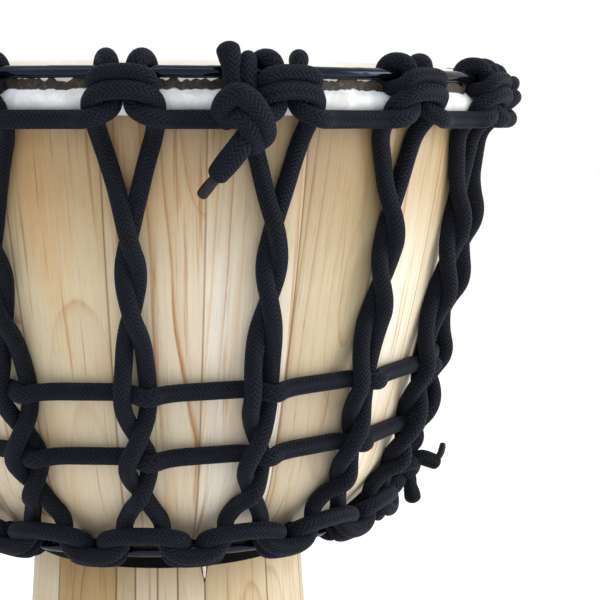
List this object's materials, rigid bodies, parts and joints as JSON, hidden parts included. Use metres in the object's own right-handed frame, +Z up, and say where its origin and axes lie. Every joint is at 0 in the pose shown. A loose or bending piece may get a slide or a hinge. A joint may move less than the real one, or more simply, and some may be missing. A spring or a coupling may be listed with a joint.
{
  "type": "djembe",
  "caption": "Small goblet-shaped hand drum: a glued stave shell under a skin that two taped rings and knotted black rope hold tight.",
  "frame": {"origin": "centre of the foot's rim, on the floor", "axes": "+Z up along the drum's axis; -Y is the front, +X is to the right of it"},
  "size_m": [0.2186, 0.2199, 0.3464],
  "materials": {
    "bowl_wood": "satin varnished pale stave wood",
    "stem_wood": "satin varnished pale strip wood",
    "waist_band": "smooth black",
    "skin": "dry rawhide",
    "steel": "drawn wire",
    "ring_tape": "glossy black tape",
    "rope": "braided black cord"
  },
  "bodies": {
    "root": {"bowl_stave_01": "bowl_wood", "bowl_stave_02": "bowl_wood", "bowl_stave_03": "bowl_wood", "bowl_stave_04": "bowl_wood", "bowl_stave_05": "bowl_wood", "bowl_stave_06": "bowl_wood", "bowl_stave_07": "bowl_wood", "bowl_stave_08": "bowl_wood", "bowl_stave_09": "bowl_wood", "bowl_stave_10": "bowl_wood", "bowl_stave_11": "bowl_wood", "bowl_stave_12": "bowl_wood", "bowl_stave_13": "bowl_wood", "bowl_stave_14": "bowl_wood", "bowl_stave_15": "bowl_wood", "bowl_stave_16": "bowl_wood", "bowl_stave_17": "bowl_wood", "bowl_stave_18": "bowl_wood", "bowl_stave_19": "bowl_wood", "bowl_stave_20": "bowl_wood", "bowl_stave_21": "bowl_wood", "bowl_stave_22": "bowl_wood", "stem_stave_01": "stem_wood", "stem_stave_02": "stem_wood", "stem_stave_03": "stem_wood", "stem_stave_04": "stem_wood", "stem_stave_05": "stem_wood", "stem_stave_06": "stem_wood", "stem_stave_07": "stem_wood", "stem_stave_08": "stem_wood", "stem_stave_09": "stem_wood", "stem_stave_10": "stem_wood", "stem_stave_11": "stem_wood", "stem_stave_12": "stem_wood", "stem_stave_13": "stem_wood", "stem_stave_14": "stem_wood", "stem_stave_15": "stem_wood", "waist_band": "waist_band", "drum_skin": "skin", "flesh_ring": "steel", "crown_ring": "steel", "bottom_ring": "steel", "crown_ring_wrap": "ring_tape", "bottom_ring_wrap": "ring_tape", "upper_loop_rope_front": "rope", "upper_loop_rope_back": "rope", "lower_loop_rope_front": "rope", "lower_loop_rope_back": "rope", "lacing_rope_front": "rope", "lacing_rope_back": "rope", "upper_row_rope": "rope", "lower_row_rope": "rope"}
  },
  "joints": []
}
